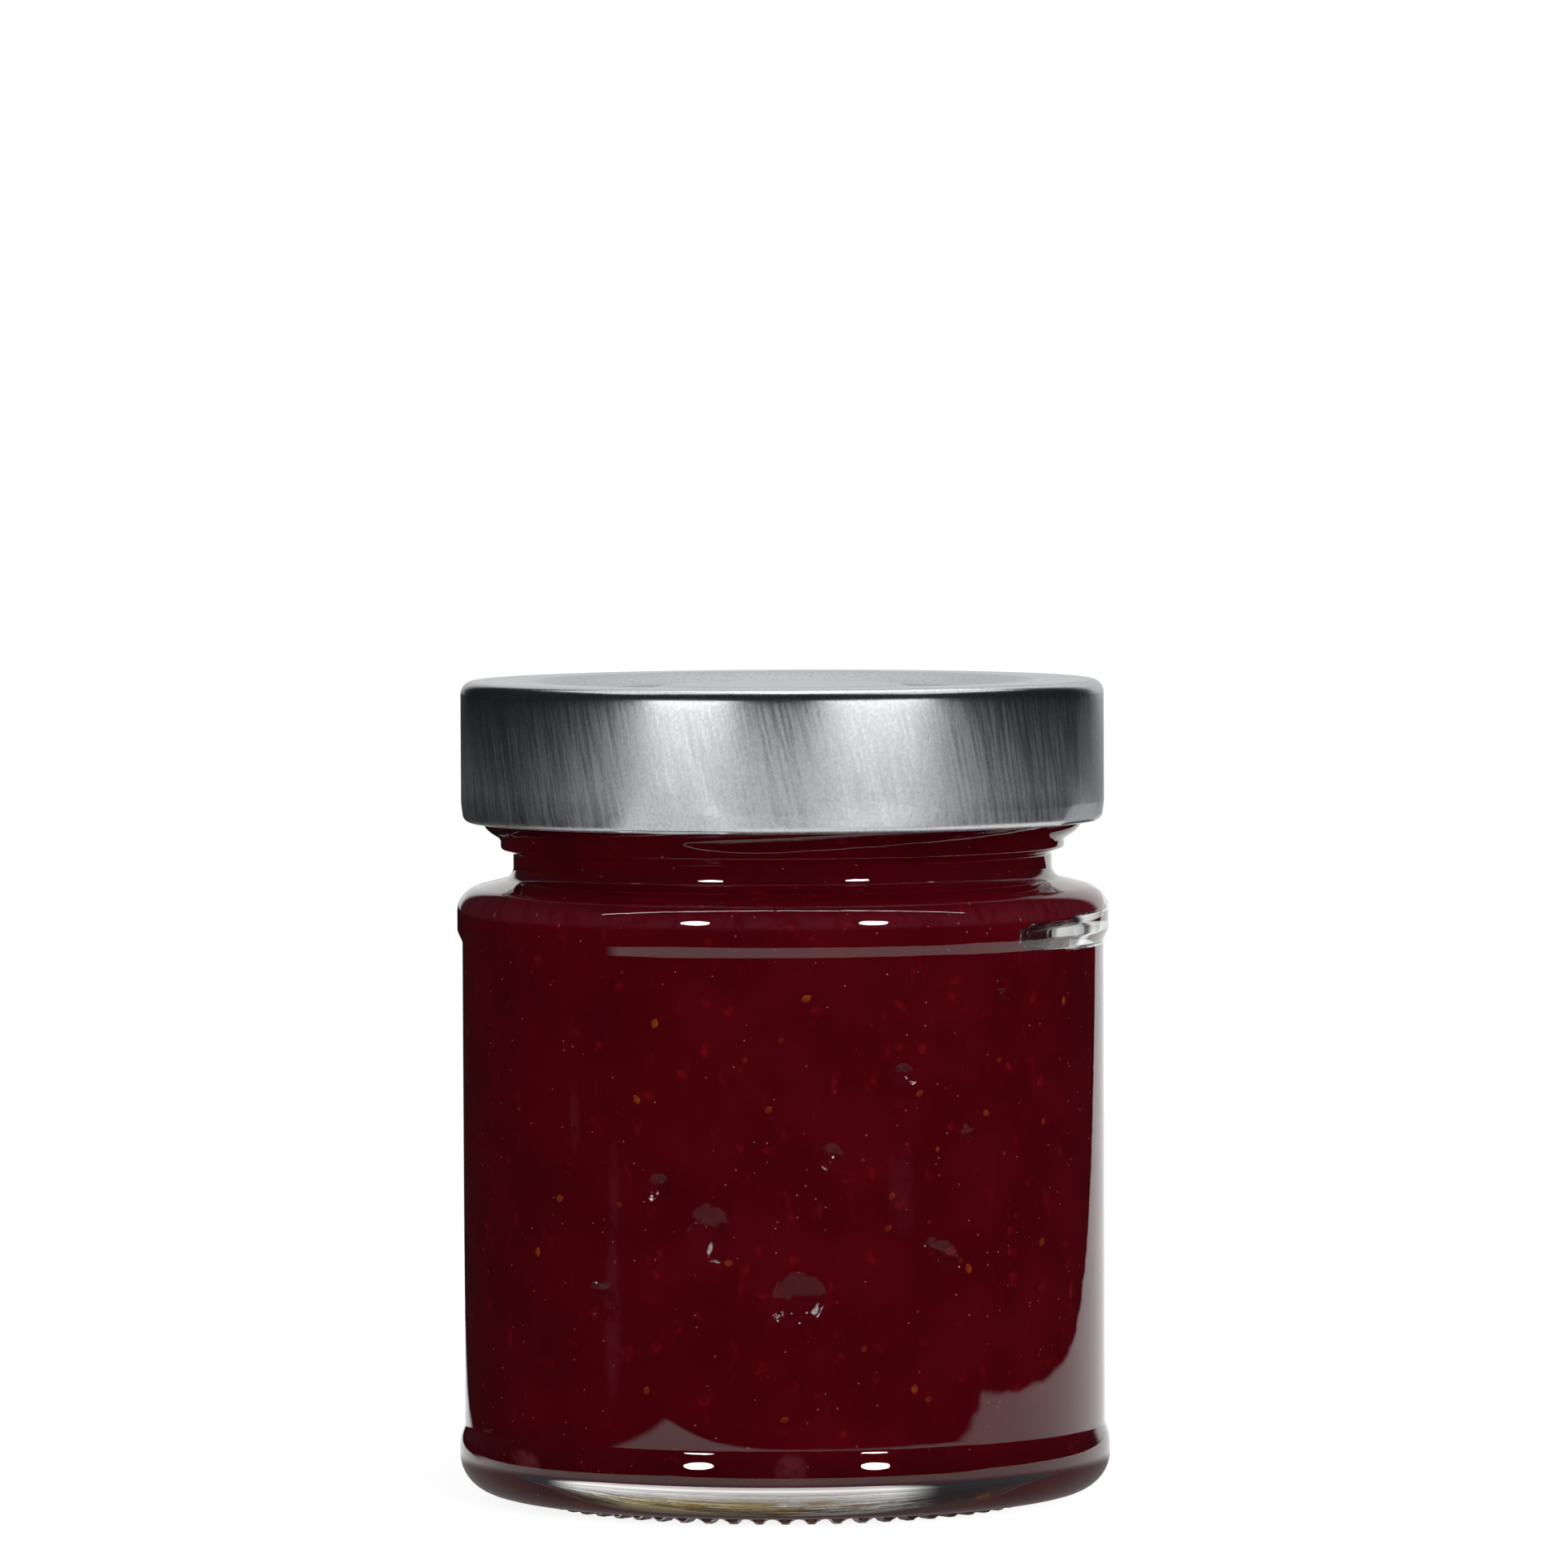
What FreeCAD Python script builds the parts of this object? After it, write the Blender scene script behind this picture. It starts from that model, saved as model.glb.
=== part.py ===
"""Twist-off jar of red jam: glass jar, tinplate lug lid and the jam inside.

Millimetres, +Z up. The origin is the centre of the bearing ring that the jar stands on.
Angles are in degrees from the front (-Y), and grow towards +X.
"""
import FreeCAD
import Part

import math
import os

from FreeCAD import Vector

# Glass: heights, stacked from the surface that the jar stands on
heel_bottom = 1.3
heel_height = 9.3
heel_blend_height = 2.6
label_height = 54.9
bead_blend_height = 2.1
bead_height = 4.0
shoulder_rise = 1.65
neck_height = 2.75
step_height = 0.55
finish_height = 19.0
floor_height = 4.8
floor_dome = 1.2
push_up = 2.2

# Glass: radii and walls
body_radius = 37.5
label_inset = 0.58
finish_radius = 32.45
neck_depth = 1.45
body_wall = 2.8
shoulder_wall = 2.38
neck_wall = 2.3
lip_wall = 3.25

# Glass: corner radii
heel_corner = 4.4
bead_corner = 2.9
blend_corner = 3.0
neck_corner = 1.4
step_corner = 0.4
lip_corner = 0.95
floor_corner = 5.5
inner_shoulder_corner = 2.6

# Glass: bearing ring, notched into small feet
ring_inset = 10.2
ring_width = 2.4
ring_corner = 0.6
ring_flare = 0.5
ring_root_corner = 0.4
push_up_inset = 1.6
push_up_corner = 2.0
feet_count = 60
feet_depth = 0.65
feet_notch_radius = 1.05

# Glass: threads that the lid's lugs run under
thread_count = 4
thread_first_angle = -24.0
thread_length = 120.0
thread_rise = 1.8 / 64.0
thread_height = 1.95
thread_half_width = 2.2
thread_run_out = 25.0
thread_root = 0.6
thread_sink = 0.2
thread_station_step = 3.0
thread_flank_drop = 0.3
thread_flank_share = 0.45

# Lid: pressed tinplate
sheet = 0.25
lid_height = 16.2
crown_corner = 1.5
rim_inset = 0.7
panel_depth = 1.3
panel_slope_width = 1.5
panel_corner = 0.8
button_radius = 16.2
button_depth = 0.5
button_slope_width = 0.8
button_corner = 1.0
skirt_tuck = 0.28
skirt_tuck_height = 2.2
skirt_tuck_corner = 3.0
curl_width = 1.9
curl_height = 1.7
curl_clearance = 0.42

# Lid: lugs, and the dents that press them in
lug_first_angle = -20.0
lug_width = 8.5
lug_engagement = 0.6
lug_lift = 0.15
lug_clearance = 0.2
dent_depth = 0.95
dent_height = 3.3

# Jam
headspace = 9.25

# Heights that follow
label_top = heel_height + label_height
bead_bottom = label_top + bead_blend_height
bead_top = bead_bottom + bead_height
shoulder_top = bead_top + shoulder_rise
neck_top = shoulder_top + neck_height
finish_bottom = neck_top + step_height
jar_height = finish_bottom + finish_height
jam_level = jar_height - headspace
lid_top = jar_height + sheet
lid_bottom = lid_top - lid_height
lug_top = lid_bottom + lug_lift + sheet

# Radii that follow
label_radius = body_radius - label_inset
inner_radius = body_radius - body_wall
ring_inner = body_radius - ring_inset - ring_width / 2
ring_outer = ring_inner + ring_width
neck_radius = finish_radius - neck_depth
neck_inner = neck_radius - neck_wall
bore_radius = finish_radius - lip_wall
rim_inner_radius = bore_radius - rim_inset
thread_radius = finish_radius + thread_height
lug_tip_radius = thread_radius - lug_engagement
curl_inner_radius = thread_radius + curl_clearance
tucked_radius = curl_inner_radius + curl_width
lid_radius = tucked_radius + skirt_tuck
far_out = 2 * max(body_radius, lid_radius)


def at(angle, radius, height):
    """Point at an angle from the front, a radius and a height."""
    turn = math.radians(angle)
    return Vector(radius * math.sin(turn), -radius * math.cos(turn), height)


def rounded_wire(corners):
    """Closed outline in the XZ half plane from (r, z, fillet radius), with tangent fillets."""
    points = [Vector(r, 0, z) for r, z, fillet in corners]
    count = len(points)
    ends = []
    arcs = []
    for index, (r, z, fillet) in enumerate(corners):
        here = points[index]
        back = (points[index - 1] - here).normalize()
        ahead = (points[(index + 1) % count] - here).normalize()
        half = back.getAngle(ahead) / 2
        if fillet == 0 or half > math.radians(89.9):
            ends.append((here, here))
            arcs.append(None)
            continue
        setback = fillet / math.tan(half)
        middle = (back + ahead).normalize()
        centre = here + middle * (fillet / math.sin(half))
        start = here + back * setback
        end = here + ahead * setback
        ends.append((start, end))
        arcs.append(Part.Arc(start, centre - middle * fillet, end).toShape())
    edges = []
    for index in range(count):
        if arcs[index]:
            edges.append(arcs[index])
        start = ends[index][1]
        end = ends[(index + 1) % count][0]
        if start.distanceToPoint(end) > 1e-6:
            edges.append(Part.LineSegment(start, end).toShape())
    return Part.Wire(Part.__sortEdges__(edges))


def revolved(corners):
    """Solid of revolution about Z from an outline in the XZ half plane."""
    face = Part.Face(rounded_wire(corners))
    return face.revolve(Vector(0, 0, 0), Vector(0, 0, 1), 360)


def inner_outline():
    """Inside of the glass from the centre of the floor up to the start of the bore."""
    slope = shoulder_rise / (body_radius - neck_radius)
    shoulder_edge = bead_top + slope * body_wall - shoulder_wall
    shoulder_end = shoulder_edge + slope * (inner_radius - neck_inner)
    return [
        (0, floor_height + floor_dome, 0),
        (inner_radius, floor_height, floor_corner),
        (inner_radius, shoulder_edge, inner_shoulder_corner),
        (neck_inner, shoulder_end, inner_shoulder_corner),
    ]


def thread_profile(angle, crest, height):
    """Closed section of a thread: a smooth ridge from root to crest to root, and a straight back."""
    root = crest - thread_height - thread_root
    flank = crest - thread_flank_drop * thread_height
    flank_offset = thread_flank_share * thread_half_width
    low = at(angle, root, height - thread_half_width)
    high = at(angle, root, height + thread_half_width)
    ridge = Part.BSplineCurve()
    ridge.interpolate([
        low,
        at(angle, flank, height - flank_offset),
        at(angle, crest, height),
        at(angle, flank, height + flank_offset),
        high,
    ])
    return Part.Wire([ridge.toShape(), Part.LineSegment(high, low).toShape()])


def thread_low_crest():
    """Height of a thread's crest at its low end, where the thread over each lug just clears it."""
    half_turn = math.degrees(lug_width / 2 / lug_tip_radius)
    travel = 360 / thread_count + lug_first_angle - thread_first_angle - half_turn
    flank_slope = thread_flank_share * thread_half_width / (thread_flank_drop * thread_height)
    return lug_top + lug_clearance + flank_slope * lug_engagement - thread_rise * travel


def make_thread(first_angle):
    """One thread: its section lofted along a rising helix, sinking into the wall at both ends."""
    low_crest = thread_low_crest()
    stations = round(thread_length / thread_station_step)
    sections = []
    for index in range(stations + 1):
        along = thread_length * index / stations
        run_out = min(1.0, along / thread_run_out, (thread_length - along) / thread_run_out)
        sink = (thread_height + thread_sink) * (1 - math.sin(run_out * math.pi / 2))
        height = low_crest + thread_rise * along
        sections.append(thread_profile(first_angle + along, thread_radius - sink, height))
    return Part.makeLoft(sections, True)


def make_notches():
    """Radial round bars, which leave the bearing ring's small feet between them."""
    centre_height = feet_depth - feet_notch_radius
    bars = []
    for index in range(feet_count):
        angle = (index + 0.5) * 360 / feet_count
        start = at(angle, ring_inner - ring_width / 2, centre_height)
        outward = at(angle, 1, 0)
        bars.append(Part.makeCylinder(feet_notch_radius, 2 * ring_width, start, outward))
    return bars


def make_jar():
    """Glass jar: one closed wall from the pushed-up base to the lip, with its threads and feet."""
    root_height = heel_bottom - 0.3
    outline = [
        (0, push_up, 0),
        (ring_inner - push_up_inset, heel_bottom, push_up_corner),
        (ring_inner - ring_flare, root_height, ring_root_corner),
        (ring_inner, 0, ring_corner),
        (ring_outer, 0, ring_corner),
        (ring_outer + ring_flare, root_height, ring_root_corner),
        (body_radius, heel_bottom, heel_corner),
        (body_radius, heel_height - heel_blend_height, blend_corner),
        (label_radius, heel_height, blend_corner),
        (label_radius, label_top, blend_corner),
        (body_radius, bead_bottom, blend_corner),
        (body_radius, bead_top, bead_corner),
        (neck_radius, shoulder_top, neck_corner),
        (neck_radius, neck_top, step_corner),
        (finish_radius, finish_bottom, step_corner),
        (finish_radius, jar_height, lip_corner),
        (bore_radius, jar_height, lip_corner),
    ]
    glass = revolved(outline + inner_outline()[::-1])
    pitch = 360 / thread_count
    threads = [make_thread(thread_first_angle + index * pitch) for index in range(thread_count)]
    return glass.fuse(threads).cut(make_notches()).removeSplitter()


def make_jam():
    """Jam: fills the glass up to its level in the bore."""
    outline = inner_outline()
    neck_end = outline[-1][1]
    share = (jam_level - neck_end) / (jar_height - neck_end)
    level_radius = neck_inner + (bore_radius - neck_inner) * share
    return revolved(outline + [(level_radius, jam_level, 0), (0, jam_level, 0)])


def lid_outline(depth):
    """Top and skirt of the lid: the outside for depth 0, or the other face of its sheet."""
    top = lid_top - depth
    return [
        (0, top - button_depth, 0),
        (button_radius - depth, top - button_depth, button_corner - depth),
        (button_radius + button_slope_width - depth, top - panel_depth, button_corner + depth),
        (rim_inner_radius - panel_slope_width - depth, top - panel_depth, panel_corner + depth),
        (rim_inner_radius - depth, top, panel_corner - depth),
        (lid_radius - depth, top, crown_corner - depth),
        (lid_radius - depth, lid_bottom + skirt_tuck_height, skirt_tuck_corner),
    ]


def dent_tool(angle, depth):
    """Slab behind a leaning plane, which presses a flat dent above one lug."""
    lean = math.degrees(math.atan2(dent_depth, dent_height))
    tall = 2 * lid_height
    slab = Part.makeBox(far_out, far_out, tall, Vector(-far_out / 2, -far_out, -tall / 2))
    slab.rotate(Vector(0, 0, 0), Vector(1, 0, 0), lean)
    slab.translate(Vector(0, depth - (lid_radius - dent_depth), lid_bottom))
    slab.rotate(Vector(0, 0, 0), Vector(0, 0, 1), angle)
    return slab


def lug_plate(angle, outer, bottom, top):
    """Flat plate with parallel sides, from the lug's tip out to a radius."""
    plate = Part.makeBox(lug_width, outer, top - bottom, Vector(-lug_width / 2, -outer, bottom))
    plate.rotate(Vector(0, 0, 0), Vector(0, 0, 1), angle)
    ring = Part.makeCylinder(outer, top - bottom, Vector(0, 0, bottom))
    ring = ring.cut(Part.makeCylinder(lug_tip_radius, top - bottom, Vector(0, 0, bottom)))
    return plate.common(ring)


def make_lid():
    """Lid: one pressed sheet with a raised rim, a safety button, an inward curl and four lugs."""
    curl_corner = curl_width / 2 - 0.01
    curl_middle = tucked_radius - curl_width / 2
    free_edge = curl_inner_radius + sheet
    below = lid_bottom - sheet
    outside = lid_outline(0) + [
        (tucked_radius, lid_bottom, curl_corner),
        (curl_middle, lid_bottom, 0),
        (0, lid_bottom, 0),
    ]
    inside = lid_outline(sheet) + [
        (tucked_radius - sheet, lid_bottom + sheet, curl_corner - sheet),
        (free_edge, lid_bottom + sheet, curl_corner - sheet),
        (free_edge, lid_bottom + curl_height, 0),
        (curl_inner_radius, lid_bottom + curl_height, 0),
        (curl_inner_radius, lid_bottom, curl_corner),
        (curl_middle, lid_bottom, 0),
        (curl_middle, below, 0),
        (0, below, 0),
    ]
    shell = revolved(outside)
    hollow = revolved(inside)
    lug_bottom = lug_top - sheet
    lugs = []
    gaps_below = []
    for index in range(thread_count):
        angle = lug_first_angle + index * 360 / thread_count
        shell = shell.cut(dent_tool(angle, 0))
        hollow = hollow.cut(dent_tool(angle, sheet))
        gaps_below.append(lug_plate(angle, far_out, below, lug_bottom))
        lugs.append(lug_plate(angle, curl_middle, lug_bottom, lug_top))
    return shell.cut(hollow).cut(gaps_below).fuse(lugs).removeSplitter()


os.makedirs("parts", exist_ok=True)
for name, make in (("jar", make_jar), ("jam", make_jam), ("lid", make_lid)):
    shape = make()
    print(name, len(shape.Solids), "solid", round(shape.Volume, 1), "mm3", shape.isValid())
    shape.exportStep(os.path.join("parts", name + ".step"))
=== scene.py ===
# %% [markdown]
# # A twist-off jar of red jam
# The jar is three real pieces: a pressed glass jar, the jam that was poured into it, and a
# tinplate lid with four lugs. The frame brings their plain solids in, in metres, with the jar
# standing on the origin and its front facing -Y. Each solid is then replaced by a finer piece
# that has the same sizes, because glass only looks like glass with a real wall, a real corner
# radius and a real filling behind it.

# %% Load the frame
import math
import random

import bmesh
import bpy
from mathutils import Matrix, Vector, noise


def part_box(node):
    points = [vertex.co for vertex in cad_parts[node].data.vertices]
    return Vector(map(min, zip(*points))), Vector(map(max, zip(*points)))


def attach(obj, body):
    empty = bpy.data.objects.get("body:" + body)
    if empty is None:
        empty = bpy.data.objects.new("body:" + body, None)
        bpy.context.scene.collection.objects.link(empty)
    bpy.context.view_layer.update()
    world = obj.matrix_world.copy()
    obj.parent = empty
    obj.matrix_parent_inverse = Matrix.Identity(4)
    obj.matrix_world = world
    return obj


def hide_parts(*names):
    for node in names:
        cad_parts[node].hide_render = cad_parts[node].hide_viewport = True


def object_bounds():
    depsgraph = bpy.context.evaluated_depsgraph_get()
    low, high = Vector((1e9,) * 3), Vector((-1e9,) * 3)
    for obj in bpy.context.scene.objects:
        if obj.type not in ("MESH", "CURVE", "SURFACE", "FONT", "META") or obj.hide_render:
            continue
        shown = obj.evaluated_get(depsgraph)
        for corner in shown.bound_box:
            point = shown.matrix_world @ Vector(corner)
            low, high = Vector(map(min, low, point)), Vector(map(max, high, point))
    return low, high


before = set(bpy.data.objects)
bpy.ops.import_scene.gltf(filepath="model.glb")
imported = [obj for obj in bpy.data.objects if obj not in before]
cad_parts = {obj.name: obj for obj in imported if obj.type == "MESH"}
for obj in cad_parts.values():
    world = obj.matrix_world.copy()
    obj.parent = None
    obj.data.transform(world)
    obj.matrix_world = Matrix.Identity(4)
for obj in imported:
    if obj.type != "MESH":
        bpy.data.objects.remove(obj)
cad_low, cad_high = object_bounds()
_, jar_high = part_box("jar")
lid_low, lid_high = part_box("lid")
_, jam_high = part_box("jam")
print("object", [round(1000 * side, 1) for side in cad_high - cad_low], "mm")

# %% [markdown]
# ## The camera
# The jar is seen almost level, from a little above, through a long lens, so that its sides stay
# upright. The camera comes first, because it decides how much detail each piece needs.

# %% Camera
MM = 0.001
CAMERA_DISTANCE = 1250 * MM
CAMERA_HEIGHT = 135.6 * MM
CAMERA_SIDE = 0.13 * MM
CAMERA_TILT = 2.434
CAMERA_ROLL = -0.248

camera_data = bpy.data.cameras.new("studio_camera")
camera_data.lens = 249.55
camera_data.sensor_width = 36
camera = bpy.data.objects.new("studio_camera", camera_data)
bpy.context.scene.collection.objects.link(camera)
look = Matrix.Rotation(math.radians(90 - CAMERA_TILT), 4, "X")
roll = Matrix.Rotation(math.radians(CAMERA_ROLL), 4, "Z")
stand = Matrix.Translation((CAMERA_SIDE, -CAMERA_DISTANCE, CAMERA_HEIGHT))
camera.matrix_world = stand @ look @ roll
bpy.context.scene.camera = camera
bpy.context.scene.view_settings.view_transform = "Standard"
print("camera", [round(c, 3) for c in camera.matrix_world.translation])

# %% [markdown]
# ## Turned shapes
# A jar, its filling and its lid are all round, so each is drawn as half a section and turned.
# The section could be traced as hundreds of points, but then no size in it could be changed.
# Here it is a short chain of corners, in millimetres, and the bevel operator rounds each one
# off, just as a mould maker's drawing gives a corner and its radius.

# %% Section helpers
CORNER_STEP = 9.0
ROUND_STEPS = 480


def rounded_chain(bm, corners):
    """A wire through (radius, height, rounding) corners, in millimetres, with each one rounded."""
    points = [Vector((r, 0, z)) * MM for r, z, rounding in corners]
    verts = [bm.verts.new(point) for point in points]
    for start, end in zip(verts, verts[1:]):
        bm.edges.new((start, end))
    for index, (r, z, rounding) in enumerate(corners):
        if rounding == 0:
            continue
        back = points[index - 1] - points[index]
        ahead = points[index + 1] - points[index]
        half = back.angle(ahead) / 2
        turn = 180 - 2 * math.degrees(half)
        bmesh.ops.bevel(
            bm, geom=[verts[index]], affect="VERTICES", offset_type="OFFSET",
            offset=rounding * MM / math.tan(half), segments=max(2, round(turn / CORNER_STEP)),
            profile=0.5, material=-1, clamp_overlap=False,
        )


def add_rows(bm, spacing):
    """Cuts the straight stretches, so that rows are at most spacing(radius, height) mm apart."""
    for edge in list(bm.edges):
        middle = (edge.verts[0].co + edge.verts[1].co) / 2 / MM
        cuts = math.ceil(edge.calc_length() / MM / spacing(middle.x, middle.z)) - 1
        if cuts > 0:
            bmesh.ops.subdivide_edges(bm, edges=[edge], cuts=cuts)


def turn_round(bm):
    """Spins the section an eighth of a turn, doubles that three times and closes the shape."""
    bmesh.ops.spin(
        bm, geom=bm.verts[:] + bm.edges[:], axis=(0, 0, 1), cent=(0, 0, 0),
        steps=ROUND_STEPS // 8, angle=math.pi / 4,
    )
    for turn in (45, 90, 180):
        copied = bmesh.ops.duplicate(bm, geom=bm.verts[:] + bm.edges[:] + bm.faces[:])["geom"]
        made = [part for part in copied if isinstance(part, bmesh.types.BMVert)]
        turned = Matrix.Rotation(math.radians(turn), 3, "Z")
        bmesh.ops.rotate(bm, verts=made, cent=(0, 0, 0), matrix=turned)
        bmesh.ops.remove_doubles(bm, verts=bm.verts, dist=0.001 * MM)
    bmesh.ops.recalc_face_normals(bm, faces=bm.faces)


def place(co):
    """(angle from the front in degrees, radius in mm, height in mm) of a point in the mesh."""
    angle = math.degrees(math.atan2(co.x, -co.y))
    return angle, math.hypot(co.x, co.y) / MM, co.z / MM


def point_at(angle, radius, height):
    """Point in metres at an angle from the front, a radius and a height in millimetres."""
    turn = math.radians(angle)
    return Vector((radius * math.sin(turn), -radius * math.cos(turn), height)) * MM


def apart(angle, other):
    """Signed difference of two angles in degrees, between -180 and 180."""
    return (angle - other + 180) % 360 - 180


# %% [markdown]
# ## Finished pieces
# Every piece ends the same way: its mesh is kept at the origin, it rides on the body, and it
# stands for the solid that it replaces.

# %% Finish helper
def finish_piece(name, bm, finishes, solid=None, sharp=50):
    """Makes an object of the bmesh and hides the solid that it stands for."""
    mesh = bpy.data.meshes.new(name)
    bm.to_mesh(mesh)
    bm.free()
    for finish in finishes:
        mesh.materials.append(finish)
    mesh.shade_smooth()
    mesh.set_sharp_from_angle(angle=math.radians(sharp))
    piece = bpy.data.objects.new(name, mesh)
    bpy.context.scene.collection.objects.link(piece)
    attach(piece, "root")
    if solid:
        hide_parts(solid)
    triangles = sum(len(polygon.vertices) - 2 for polygon in mesh.polygons)
    print(name, triangles, "triangles", [round(side / MM, 2) for side in piece.dimensions], "mm")
    return piece


# %% [markdown]
# ## Shared patterns
# Cloudy patches turn up in the jam, the seeds, the glass and the tinplate, at different sizes.
# One node group makes them, and each material places it with its own values. The group only
# puts out a mask, and the shader stays in the material, where an exporter can read it.

# %% Node helpers
def new_group(name, *numbers):
    """An empty node group: a vector and the named numbers go in, and a mask comes out."""
    group = bpy.data.node_groups.new(name, "ShaderNodeTree")
    group.interface.new_socket("Vector", in_out="INPUT", socket_type="NodeSocketVector")
    for title in numbers:
        group.interface.new_socket(title, in_out="INPUT", socket_type="NodeSocketFloat")
    group.interface.new_socket("Mask", in_out="OUTPUT", socket_type="NodeSocketFloat")
    return group, group.nodes.new("NodeGroupInput"), group.nodes.new("NodeGroupOutput")


def node(tree, kind, **values):
    """A node with its properties and its input values set."""
    made = tree.nodes.new(kind)
    for key, value in values.items():
        if hasattr(made, key):
            setattr(made, key, value)
        else:
            made.inputs[key.replace("_", " ")].default_value = value
    return made


def math_node(tree, operation, first, second=None, clamp=False):
    """A Math node fed by sockets or numbers, which returns its output socket."""
    made = node(tree, "ShaderNodeMath", operation=operation, use_clamp=clamp)
    for index, value in enumerate((first, second)):
        if value is None:
            continue
        if isinstance(value, (int, float)):
            made.inputs[index].default_value = value
        else:
            tree.links.new(value, made.inputs[index])
    return made.outputs[0]


print("node helpers ready")

# %% Cloud group
cloud, cloud_in, cloud_out = new_group("cloud", "Scale", "Detail", "Low", "High")
cloud_noise = node(cloud, "ShaderNodeTexNoise", Roughness=0.55)
cloud_range = node(cloud, "ShaderNodeMapRange", interpolation_type="SMOOTHSTEP")
for title in ("Vector", "Scale", "Detail"):
    cloud.links.new(cloud_in.outputs[title], cloud_noise.inputs[title])
cloud.links.new(cloud_noise.outputs["Fac"], cloud_range.inputs["Value"])
cloud.links.new(cloud_in.outputs["Low"], cloud_range.inputs["From Min"])
cloud.links.new(cloud_in.outputs["High"], cloud_range.inputs["From Max"])
cloud.links.new(cloud_range.outputs["Result"], cloud_out.inputs["Mask"])
print("cloud group with", len(cloud.nodes), "nodes")

# %% [markdown]
# ## Flecks
# Pulp, the painted glints that stand for drops of syrup, and the sparkle of tin crystals are small
# separate spots, which a noise can't give. A Voronoi texture cuts space into cells with one spot
# each. Every cell also has a colour of its own, and comparing it with a share decides whether its
# spot is there at all.

# %% Fleck group
fleck, fleck_in, fleck_out = new_group("fleck", "Scale", "Size", "Share")
fleck_cells = node(fleck, "ShaderNodeTexVoronoi")
for title in ("Vector", "Scale"):
    fleck.links.new(fleck_in.outputs[title], fleck_cells.inputs[title])
fleck_edge = node(fleck, "ShaderNodeMapRange", interpolation_type="SMOOTHSTEP")
fleck.links.new(fleck_cells.outputs["Distance"], fleck_edge.inputs["Value"])
fleck.links.new(fleck_in.outputs["Size"], fleck_edge.inputs["From Min"])
fleck_core = math_node(fleck, "MULTIPLY", fleck_in.outputs["Size"], 0.5)
fleck.links.new(fleck_core, fleck_edge.inputs["From Max"])
fleck_draw = fleck.nodes.new("ShaderNodeSeparateColor")
fleck.links.new(fleck_cells.outputs["Color"], fleck_draw.inputs[0])
fleck_kept = math_node(fleck, "LESS_THAN", fleck_draw.outputs[0], fleck_in.outputs["Share"])
fleck_spots = math_node(fleck, "MULTIPLY", fleck_edge.outputs["Result"], fleck_kept)
fleck.links.new(fleck_spots, fleck_out.inputs["Mask"])
print("fleck group with", len(fleck.nodes), "nodes")


# %% Material helpers
RING_SQUEEZE = 0.12


def new_material(name):
    """A material with its node tree, its Principled shader and its Object coordinates."""
    material = bpy.data.materials.new(name)
    material.use_nodes = True
    tree = material.node_tree
    shader = tree.nodes["Principled BSDF"]
    coordinates = tree.nodes.new("ShaderNodeTexCoord")
    return material, tree, shader, coordinates.outputs["Object"]


def stretched(tree, vector, scale, turn=(0, 0, 0)):
    """The coordinates squeezed along each axis, which draws a pattern out along the others."""
    mapping = node(tree, "ShaderNodeMapping")
    mapping.inputs["Scale"].default_value = scale
    mapping.inputs["Rotation"].default_value = [math.radians(angle) for angle in turn]
    tree.links.new(vector, mapping.inputs["Vector"])
    return mapping.outputs["Vector"]


def split_axes(tree, vector):
    """The X, Y and Z of a vector, as three sockets."""
    split = tree.nodes.new("ShaderNodeSeparateXYZ")
    tree.links.new(vector, split.inputs[0])
    return split.outputs["X"], split.outputs["Y"], split.outputs["Z"]


def join_axes(tree, x, y, z=None):
    """A vector made of two or three sockets. An axis left out is zero."""
    joined = tree.nodes.new("ShaderNodeCombineXYZ")
    for axis, value in zip("XYZ", (x, y, z)):
        if value is not None:
            tree.links.new(value, joined.inputs[axis])
    return joined.outputs[0]


def length_of(tree, vector):
    """The length of a vector."""
    measure = node(tree, "ShaderNodeVectorMath", operation="LENGTH")
    tree.links.new(vector, measure.inputs[0])
    return measure.outputs["Value"]


def around_axis(tree, where):
    """The distance from the upright axis, and coordinates that draw a pattern out into rings."""
    x, y, _ = split_axes(tree, where)
    distance = length_of(tree, join_axes(tree, x, y))
    squeezed = [math_node(tree, "MULTIPLY", axis, RING_SQUEEZE) for axis in (x, y)]
    return distance, join_axes(tree, *squeezed, distance)


def group_mask(tree, group, vector, **numbers):
    """The mask of one placed group."""
    placed = tree.nodes.new("ShaderNodeGroup")
    placed.node_tree = group
    for title, value in numbers.items():
        placed.inputs[title].default_value = value
    tree.links.new(vector, placed.inputs["Vector"])
    return placed.outputs["Mask"]


def cloud_mask(tree, vector, scale, detail, low, high):
    """Soft patches. Low and high are the noise levels where they start and are full."""
    return group_mask(tree, cloud, vector, Scale=scale, Detail=detail, Low=low, High=high)


def fleck_mask(tree, vector, scale, size, share):
    """Separate spots. Share is the part of the cells that have one."""
    return group_mask(tree, fleck, vector, Scale=scale, Size=size, Share=share)


def shaken(tree, vector, scale, amount):
    """The coordinates pushed about by noise, which makes round flecks ragged."""
    shake = node(tree, "ShaderNodeTexNoise", Scale=scale, Detail=2.0)
    tree.links.new(vector, shake.inputs["Vector"])
    centred = node(tree, "ShaderNodeVectorMath", operation="SUBTRACT")
    centred.inputs[1].default_value = (0.5, 0.5, 0.5)
    tree.links.new(shake.outputs["Color"], centred.inputs[0])
    scaled = node(tree, "ShaderNodeVectorMath", operation="SCALE", Scale=amount)
    tree.links.new(centred.outputs[0], scaled.inputs[0])
    moved = node(tree, "ShaderNodeVectorMath", operation="ADD")
    tree.links.new(vector, moved.inputs[0])
    tree.links.new(scaled.outputs[0], moved.inputs[1])
    return moved.outputs[0]


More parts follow.
